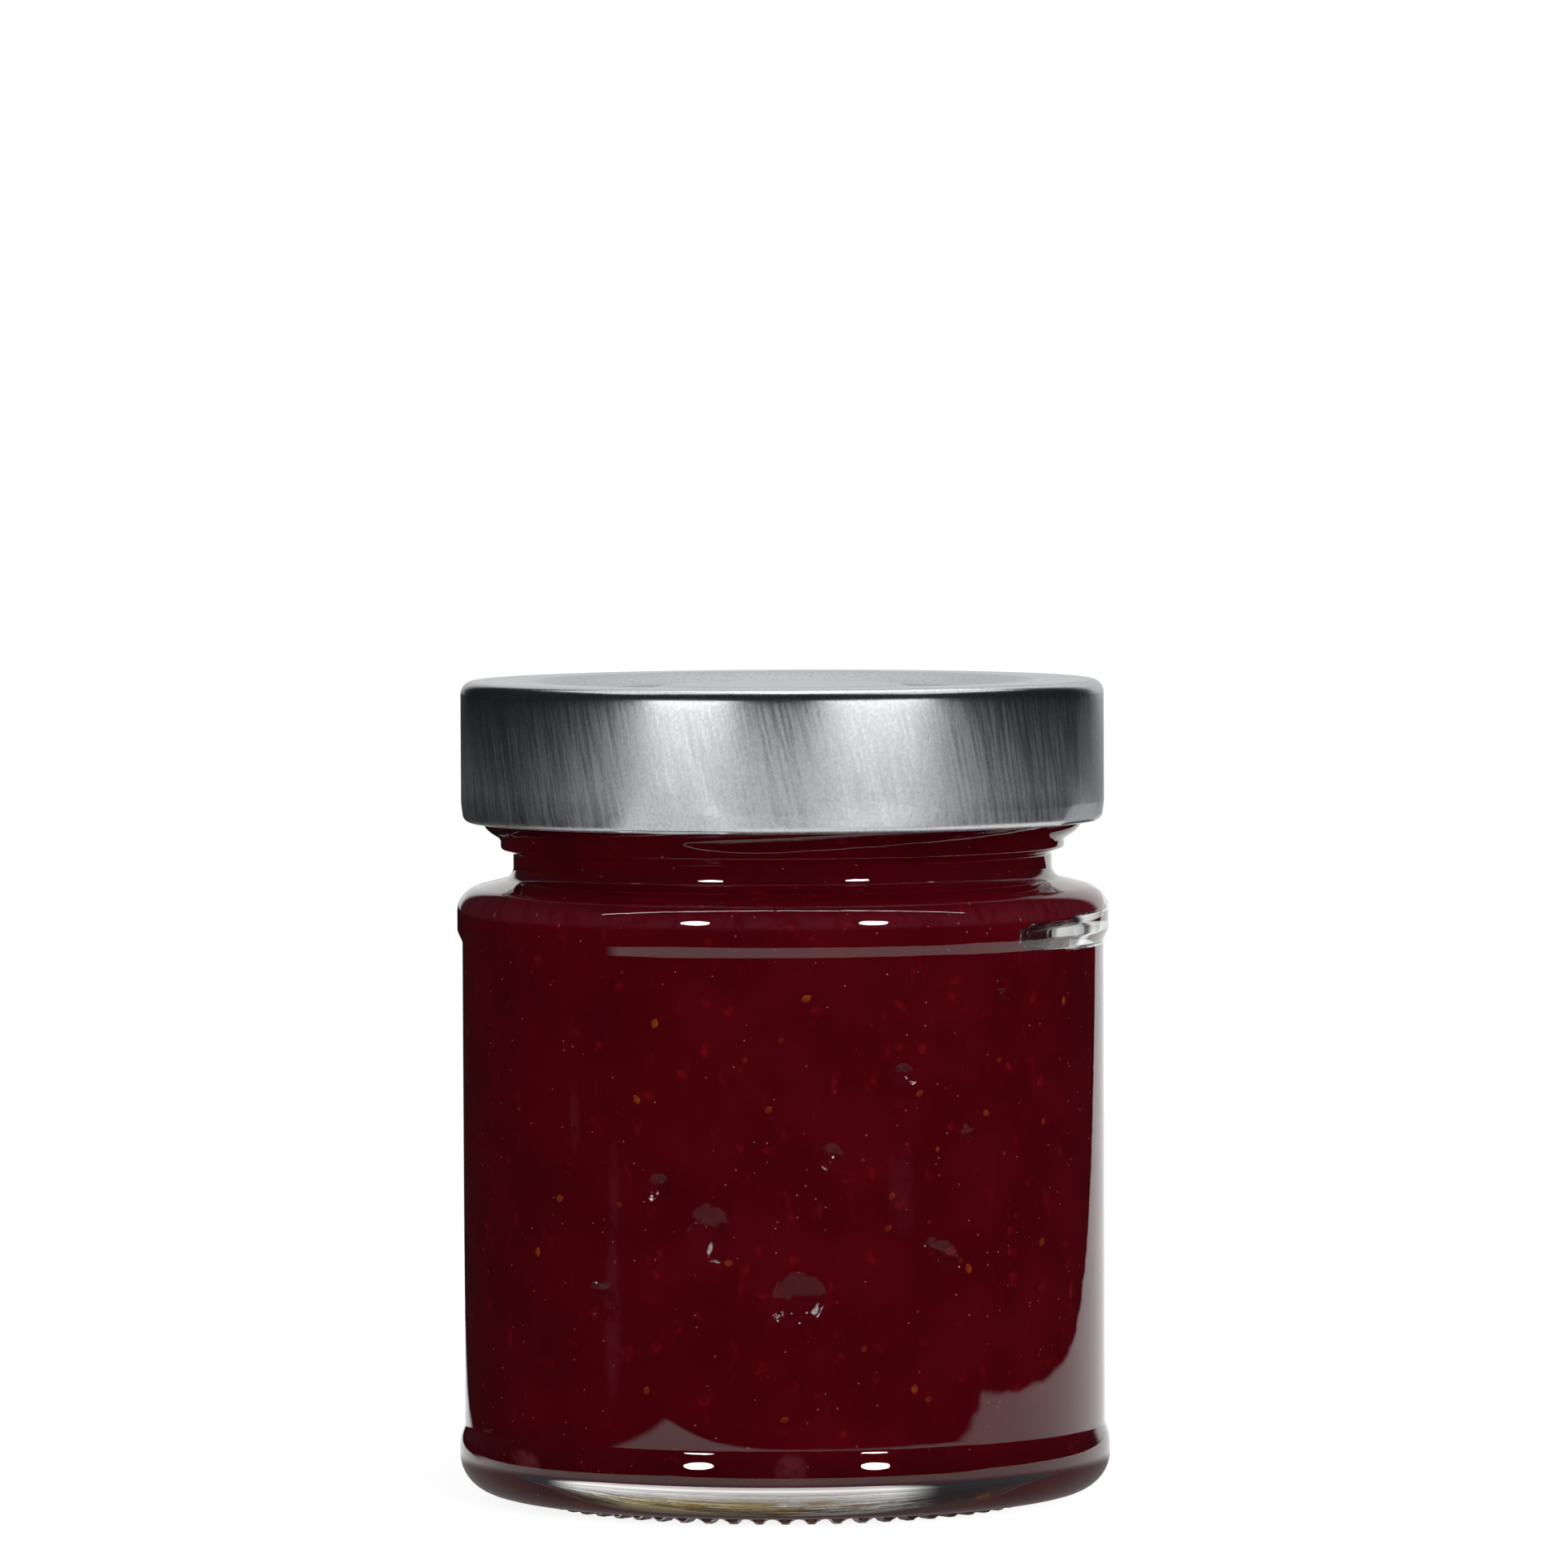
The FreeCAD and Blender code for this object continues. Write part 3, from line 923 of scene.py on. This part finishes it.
# %% Turn the lid
SHEET = 0.25
LID_RADIUS = lid_high.x / MM
LID_TOP = lid_high.z / MM
LID_FOOT = lid_low.z / MM
TUCKED = LID_RADIUS - 0.28
TUCK_TOP = LID_FOOT + 2.2
CURL_INNER = TUCKED - 1.9
CURL_TOP = LID_FOOT + 1.7
BUTTON_EDGE = 13.0
BUTTON_TOP = LID_TOP - 0.5
PANEL_START = 17.0
PANEL_END = 25.4
PANEL_TOP = LID_TOP - 1.3
RIM_START = 29.2
SKIRT_ROWS = 0.5
LID_ROWS = 3.0

LID_FACE = (
    (0, BUTTON_TOP, 0),
    (BUTTON_EDGE, BUTTON_TOP, 4.0),
    (PANEL_START, PANEL_TOP, 4.0),
    (PANEL_END, PANEL_TOP, 2.0),
    (RIM_START, LID_TOP, 2.0),
    (LID_RADIUS, LID_TOP, 1.5),
    (LID_RADIUS, TUCK_TOP, 3.0),
    (TUCKED, LID_FOOT, 0.94),
    (CURL_INNER, LID_FOOT, 0.94),
    (CURL_INNER, CURL_TOP, 0.08),
    (CURL_INNER + SHEET, CURL_TOP, 0.08),
    (CURL_INNER + SHEET, LID_FOOT + SHEET, 0.69),
    (TUCKED - SHEET, LID_FOOT + SHEET, 0.69),
    (LID_RADIUS - SHEET, TUCK_TOP, 3.0),
    (LID_RADIUS - SHEET, LID_TOP - SHEET, 1.25),
    (RIM_START, LID_TOP - SHEET, 1.75),
    (PANEL_END, PANEL_TOP - SHEET, 2.25),
    (PANEL_START, PANEL_TOP - SHEET, 4.25),
    (BUTTON_EDGE, BUTTON_TOP - SHEET, 3.75),
    (0, BUTTON_TOP - SHEET, 0),
)


def lid_rows(radius, height):
    """Rows lie close on the skirt, where the dents go."""
    return SKIRT_ROWS if radius > CURL_INNER + 1 and height < LID_TOP - 8 else LID_ROWS


lid = bmesh.new()
rounded_chain(lid, LID_FACE)
add_rows(lid, lid_rows)
print("rows in the section", len(lid.verts))
turn_round(lid)

# %% [markdown]
# ## Lugs and their dents
# A tool presses the skirt flat above each lug and folds the curl under into a flat tongue.

# %% Press the dents
LUG_FIRST = -20.0
DENT_DEPTH = 0.95
DENT_HEIGHT = 3.3
DENT_SOFTNESS = 0.10
DENT_HALF_ANGLE = 25
DENT_TOP = 5

dented = 0
for vert in lid.verts:
    angle, radius, height = place(vert.co)
    if radius < CURL_INNER + 0.6 or height > LID_FOOT + DENT_TOP:
        continue
    for index in range(THREAD_COUNT):
        off = apart(angle, LUG_FIRST + index * 360 / THREAD_COUNT)
        if abs(off) > DENT_HALF_ANGLE:
            continue
        reach = LID_RADIUS - DENT_DEPTH * (1 - (height - LID_FOOT) / DENT_HEIGHT)
        skin = 0 if radius > TUCKED - 0.12 or height < LID_FOOT + 0.15 else SHEET
        over = radius * math.cos(math.radians(off)) - (reach - skin)
        moved = (over + math.sqrt(over ** 2 + DENT_SOFTNESS ** 2)) / 2
        if moved > 0.01:
            vert.co = point_at(angle, radius - moved / math.cos(math.radians(off)), height)
            dented += 1
print("points pressed flat", dented)

# %% Fold the lugs
LUG_WIDTH = 8.5
LUG_TIP = 33.8
LUG_LIFT = 0.28
LUG_EDGE = 0.1

for index in range(THREAD_COUNT):
    depth = CURL_INNER + 0.6 - LUG_TIP
    made = bmesh.ops.create_cube(lid, size=1.0)["verts"]
    bmesh.ops.scale(lid, vec=(LUG_WIDTH * MM, depth * MM, SHEET * MM), verts=made)
    edges = {edge for vert in made for edge in vert.link_edges}
    bevelled = bmesh.ops.bevel(
        lid, geom=list(edges), affect="EDGES", offset=LUG_EDGE * MM, segments=2, profile=0.5,
        material=-1,
    )
    made = list({vert for face in bevelled["faces"] for vert in face.verts})
    middle = (0, -(LUG_TIP + depth / 2) * MM, (LID_FOOT + LUG_LIFT) * MM)
    bmesh.ops.translate(lid, verts=made, vec=middle)
    turn = math.radians(LUG_FIRST + index * 360 / THREAD_COUNT)
    bmesh.ops.rotate(lid, verts=made, cent=(0, 0, 0), matrix=Matrix.Rotation(turn, 3, "Z"))
print("lugs folded", THREAD_COUNT)
lid_metal = finish_piece("lid_metal", lid, [tin_finish], "lid", sharp=40)

# %% [markdown]
# ## Seeds
# Fruit seeds are little flattened drops, a millimetre and a bit long. Those against the glass
# show clearly, so they are real meshes pressed up to the wall.

# %% Seed finish
SEED_BROWN = (0.145, 0.017, 0.005)
SEED_TAN = (0.225, 0.036, 0.007)
SEED_VEILED = (0.080, 0.0030, 0.0040)

seed_finish, tree, shader, where = new_material("seed_shell")
shader.inputs["Roughness"].default_value = 0.5
shader.inputs["Specular IOR Level"].default_value = 0.0
shade = node(tree, "ShaderNodeAttribute", attribute_name="sunk")
ripe = cloud_mask(tree, where, 1500.0, 2.0, 0.35, 0.65)
seed = blend_colours(tree, ripe, SEED_BROWN, SEED_TAN)
veiled = blend_colours(tree, shade.outputs["Fac"], seed, SEED_VEILED)
tree.links.new(veiled, shader.inputs["Base Color"])
print("seed nodes", len(tree.nodes))

# %% [markdown]
# ## Placing the seeds
# The seeds in front have places of their own. The rest are drawn with a fixed seed number, so
# that each run gives the same jar. A seed that is sunk deeper looks redder.

# %% Set the seeds
# angle, height, turn, how far sunk from 0 to 1
FRONT_SEEDS = (
    (-24.0, 57.0, 20, 0.0), (4.2, 59.9, 60, 0.1), (-27.7, 48.4, -30, 0.1), (-51.2, 30.5, 10, 0.0),
    (-45.1, 36.8, 80, 0.2), (54.5, 31.3, 35, 0.2), (35.6, 29.0, -15, 0.1), (24.2, 15.7, 0, 0.2),
    (-2.7, 47.5, 50, 0.5), (39.7, 46.4, -60, 0.5), (0.0, 12.6, 70, 0.5), (-26.0, 15.7, 15, 0.5),
    (20.0, 37.6, 10, 0.6), (-10.2, 30.2, 80, 0.4), (25.5, 49.0, 45, 0.5), (14.5, 20.5, 20, 0.7),
    (-31.5, 36.5, -70, 0.7), (27.0, 14.5, 60, 0.7), (55.0, 45.0, 0, 0.6), (-7.0, 53.0, 30, 0.8),
)


SEED_BALL = 0.5 * MM
BACK_SEEDS = 34
SUNK_SEEDS = 12


def add_seed(bm, sunk_layer, angle, height, turn, sunk, length=1.25):
    """One seed lying against the glass: a small ball drawn out, flattened and pointed at an end."""
    made = bmesh.ops.create_icosphere(bm, subdivisions=2, radius=SEED_BALL)["verts"]
    for vert in made:
        end = vert.co.z / SEED_BALL
        taper = 1 - 0.30 * max(0, end) - 0.08 * abs(end)
        pits = 1 + 0.06 * noise.noise(vert.co / MM * 6 + Vector((angle, height, 0)))
        vert.co.x *= 0.74 * taper * pits * length
        vert.co.y *= 0.40 * taper * pits * length
        vert.co.z *= length
        vert[sunk_layer] = sunk
    for degrees, axis in ((turn, "Y"), (angle, "Z")):
        spin = Matrix.Rotation(math.radians(degrees), 3, axis)
        bmesh.ops.rotate(bm, verts=made, cent=(0, 0, 0), matrix=spin)
    depth = INNER_RADIUS + INTO_WALL - 0.04 - 0.16 * sunk
    bmesh.ops.translate(bm, verts=made, vec=point_at(angle, depth, height))


draw = random.Random(11)
seeds = bmesh.new()
sunk_layer = seeds.verts.layers.float.new("sunk")
for angle, height, turn, sunk in FRONT_SEEDS:
    add_seed(seeds, sunk_layer, angle, height, turn, sunk)
for index in range(BACK_SEEDS + SUNK_SEEDS):
    at_back = index < BACK_SEEDS
    angle = draw.uniform(62, 298) if at_back else draw.uniform(-58, 58)
    sunk = draw.uniform(0.0, 0.8) if at_back else draw.uniform(0.55, 0.9)
    height, turn, length = draw.uniform(12, 63), draw.uniform(-90, 90), draw.uniform(0.95, 1.3)
    add_seed(seeds, sunk_layer, angle, height, turn, sunk, length)
finish_piece("fruit_seeds", seeds, [seed_finish], sharp=180)

# %% [markdown]
# ## A card on the floor
# The floor is white to the eye and takes the jar's soft shadow. Glass would mirror all of it and
# look grey, so mirror rays find only a pale card there, and a tongue of it in front of the jar.
# The rest is dark to them. The card's sides waver a little, so that its mirror images do too.

# %% Card on the floor
CARD_FRONT = -68 * MM
CARD_LEFT = -75 * MM
CARD_RIGHT = 180 * MM
CARD_EDGE = 5 * MM
CARD_WAVE = 14 * MM
CARD_LEAN = 0.15
FAR_FLOOR = 100 * MM
FAR_LEAN = 0.27
TONGUE_REACH = 126 * MM
TONGUE_EDGE = 2 * MM
TONGUE_LEFT = -98 * MM
TONGUE_BACK = 60 * MM
TONGUE_BACK_FULL = 20 * MM


def card_mask(tree, where):
    """1 on the pale card and on its tongue in front of the jar, and 0 on the rest of the floor."""
    x, y, _ = split_axes(tree, shaken(tree, where, 35.0, CARD_WAVE))
    front = soft_step(tree, y, CARD_FRONT - CARD_EDGE, CARD_FRONT + CARD_EDGE)
    left = soft_step(tree, x, CARD_LEFT - CARD_EDGE, CARD_LEFT + CARD_EDGE)
    beyond = math_node(tree, "MAXIMUM", math_node(tree, "SUBTRACT", y, FAR_FLOOR), 0.0)
    near_lean = math_node(tree, "MULTIPLY", y, CARD_LEAN)
    far_lean = math_node(tree, "MULTIPLY", beyond, FAR_LEAN)
    leaning = math_node(tree, "SUBTRACT", x, math_node(tree, "ADD", near_lean, far_lean))
    right = soft_step(tree, leaning, CARD_RIGHT + CARD_EDGE, CARD_RIGHT - CARD_EDGE)
    card = math_node(tree, "MULTIPLY", front, math_node(tree, "MULTIPLY", left, right))
    x, y, _ = split_axes(tree, where)
    reach = length_of(tree, join_axes(tree, math_node(tree, "MAXIMUM", x, 0.0), y))
    ahead = soft_step(tree, reach, TONGUE_REACH + TONGUE_EDGE, TONGUE_REACH - TONGUE_EDGE)
    beside = soft_step(tree, y, TONGUE_BACK, TONGUE_BACK_FULL)
    outer = soft_step(tree, x, TONGUE_LEFT - CARD_EDGE, TONGUE_LEFT + CARD_EDGE)
    tongue = math_node(tree, "MULTIPLY", ahead, outer)
    tongue = math_node(tree, "MULTIPLY", tongue, math_node(tree, "MULTIPLY", right, beside))
    return math_node(tree, "MAXIMUM", card, tongue)


def mirror_rays(tree, rays):
    """1 for a ray that was mirrored or bent on its way."""
    glossy, bent = rays.outputs["Is Glossy Ray"], rays.outputs["Is Transmission Ray"]
    return math_node(tree, "MAXIMUM", glossy, bent)


print("tongue reaches", round(TONGUE_REACH / MM), "mm from the axis")

# %% [markdown]
# ## Floor
# The Light Path node tells one kind of ray from another. The eye finds a white glow, mirror rays
# find the card, dimmer close to the jar, and bounced light finds a little of both.

# %% Floor
NEAR_JAR = 72 * MM
NEAR_EDGE = 25 * MM
NEAR_LEVEL = 0.2
FLOOR_WHITE = 0.82
FLOOR_BOUNCE = 0.35
FLOOR_GREY = (0.30, 0.30, 0.30)
FLOOR_DARK = (0.01, 0.01, 0.01)

pale_floor, tree, shader, where = new_material("pale_floor")
shader.inputs["Roughness"].default_value = 1.0
shader.inputs["Specular IOR Level"].default_value = 0.0
shader.inputs["Emission Color"].default_value = (1, 1, 1, 1)
rays = tree.nodes.new("ShaderNodeLightPath")
card = card_mask(tree, where)
away = soft_step(tree, length_of(tree, where), NEAR_JAR - NEAR_EDGE, NEAR_JAR)
away = blend_values(tree, away, NEAR_LEVEL, 1.0)
glossy = math_node(tree, "MULTIPLY", rays.outputs["Is Glossy Ray"], away)
mirrored = math_node(tree, "MAXIMUM", glossy, rays.outputs["Is Transmission Ray"])
on_card = math_node(tree, "MULTIPLY", card, mirrored)
shown = math_node(tree, "MAXIMUM", rays.outputs["Is Camera Ray"], on_card)
bounced = math_node(tree, "MULTIPLY", rays.outputs["Is Diffuse Ray"], FLOOR_BOUNCE)
glow = math_node(tree, "ADD", math_node(tree, "MULTIPLY", shown, FLOOR_WHITE), bounced)
tree.links.new(glow, shader.inputs["Emission Strength"])
unlit = math_node(tree, "SUBTRACT", 1.0, math_node(tree, "MULTIPLY", card, away))
off_card = math_node(tree, "MULTIPLY", mirror_rays(tree, rays), unlit)
floor_colour = blend_colours(tree, off_card, FLOOR_GREY, FLOOR_DARK)
tree.links.new(floor_colour, shader.inputs["Base Color"])

floor_mesh = bmesh.new()
bmesh.ops.create_circle(floor_mesh, cap_ends=True, segments=96, radius=6.0)
floor_data = bpy.data.meshes.new("studio_floor")
floor_mesh.to_mesh(floor_data)
floor_mesh.free()
floor_data.materials.append(pale_floor)
floor = bpy.data.objects.new("studio_floor", floor_data)
floor.location.z = -0.02 * MM
bpy.context.scene.collection.objects.link(floor)
print("floor nodes", len(tree.nodes))

# %% [markdown]
# ## World
# The eye finds white all round. Mirror rays find a dark studio with one pale board behind the
# jar, dimmer in the middle. Bounced light finds one plain level from every side.

# %% World
STUDIO_DARK = (0.014, 0.018, 0.022)
STUDIO_PLAIN = (0.62, 0.62, 0.62)
BOARD_BRIGHT = (1, 1, 1)
BOARD_MIDDLE = (0.90, 0.90, 0.90)
BOARD_LEFT = -20
BOARD_RIGHT = 36
BOARD_CENTRE = 16
BOARD_EDGE = 8

world = bpy.data.worlds.new("studio")
bpy.context.scene.world = world
world.use_nodes = True
world.cycles.sampling_method = "NONE"
tree = world.node_tree
rays = tree.nodes.new("ShaderNodeLightPath")
toward = tree.nodes.new("ShaderNodeTexCoord")
x, y, _ = split_axes(tree, toward.outputs["Generated"])
behind = math_node(tree, "ARCTAN2", x, y)
sideways = math_node(tree, "ABSOLUTE", behind)
right_edge, left_edge, middle = (
    soft_step(tree, angle, math.radians(start), math.radians(end)) for angle, start, end in (
        (behind, BOARD_RIGHT, BOARD_RIGHT - BOARD_EDGE),
        (behind, BOARD_LEFT, BOARD_LEFT + BOARD_EDGE),
        (sideways, BOARD_CENTRE, BOARD_CENTRE - BOARD_EDGE),
    )
)
board = math_node(tree, "MULTIPLY", right_edge, left_edge)
board_tone = blend_colours(tree, middle, BOARD_BRIGHT, BOARD_MIDDLE)
studio = blend_colours(tree, board, STUDIO_DARK, board_tone)
lit = blend_colours(tree, mirror_rays(tree, rays), STUDIO_PLAIN, studio)
seen = blend_colours(tree, rays.outputs["Is Camera Ray"], lit, (1, 1, 1))
tree.links.new(seen, tree.nodes["Background"].inputs["Color"])
print("world nodes", len(tree.nodes))

# %% [markdown]
# ## Lamps
# Polished glass wants small lamps far off, which it shows as narrow bright shapes. Satin metal
# wants broad ones close by, which it smears into soft bands. One set can't do both, so light
# linking gives the lid its own lamps and keeps the jar's off it. A wide window lights them all.

# %% Lamps
# name, azimuth from the front to +X, elevation, distance, width, height, watts, shape
JAR_LAMPS = (
    ("left_box", -31, 16, 1.6, 0.29, 0.44, 13, "ELLIPSE"),
    ("right_box", 32, 14, 1.6, 0.29, 0.44, 13, "ELLIPSE"),
    ("thin_strip", 0, 73, 1.05, 2.6, 0.03, 4.0, "RECTANGLE"),
)
LID_LAMPS = (
    ("left_screen", -31.5, 9.8, 0.25, 0.125, 0.17, 0.115, "RECTANGLE"),
    ("right_screen", 32, 9.8, 0.25, 0.158, 0.17, 0.130, "RECTANGLE"),
    ("back_box", 172, 72, 1.0, 1.3, 0.7, 3.0, "RECTANGLE"),
    ("lid_apron", 0, 0, 0.225, 0.40, 0.22, 0.16, "RECTANGLE"),
)
APRON_HEIGHT = 4 * MM


def soft_box(name, azimuth, elevation, distance, width, height, energy, shape):
    """A lamp round the jar, turned to face it."""
    data = bpy.data.lights.new(name, "AREA")
    data.shape = shape
    data.size = width
    data.size_y = height
    data.energy = energy
    lamp = bpy.data.objects.new(name, data)
    bpy.context.scene.collection.objects.link(lamp)
    aim = Vector((0, 0, (cad_low.z + cad_high.z) / 2))
    turn, rise = math.radians(azimuth), math.radians(elevation)
    level = math.cos(rise)
    away = Vector((math.sin(turn) * level, -math.cos(turn) * level, math.sin(rise)))
    lamp.location = aim + away * distance
    lamp.rotation_euler = away.to_track_quat("Z", "Y").to_euler()
    lamp.visible_camera = False
    return lamp


lid_light = bpy.data.collections.new("lid_light")
lid_light.objects.link(lid_metal)
jar_light = bpy.data.collections.new("jar_light")
jar_light.objects.link(lid_metal)
jar_light.collection_objects[0].light_linking.link_state = "EXCLUDE"
for rows, receivers in ((JAR_LAMPS, jar_light), (LID_LAMPS, lid_light)):
    for row in rows:
        lamp = soft_box(*row)
        lamp.visible_diffuse = False
        lamp.light_linking.receiver_collection = receivers
apron = bpy.data.objects["lid_apron"]
apron.location.z = APRON_HEIGHT
apron.rotation_euler = (math.pi, 0, 0)
key = soft_box("key_window", 24, 42, 1.6, 1.2, 1.2, 14, "RECTANGLE")
key.visible_glossy = False
key.visible_transmission = False
print("lamps", len(JAR_LAMPS) + len(LID_LAMPS) + 1)
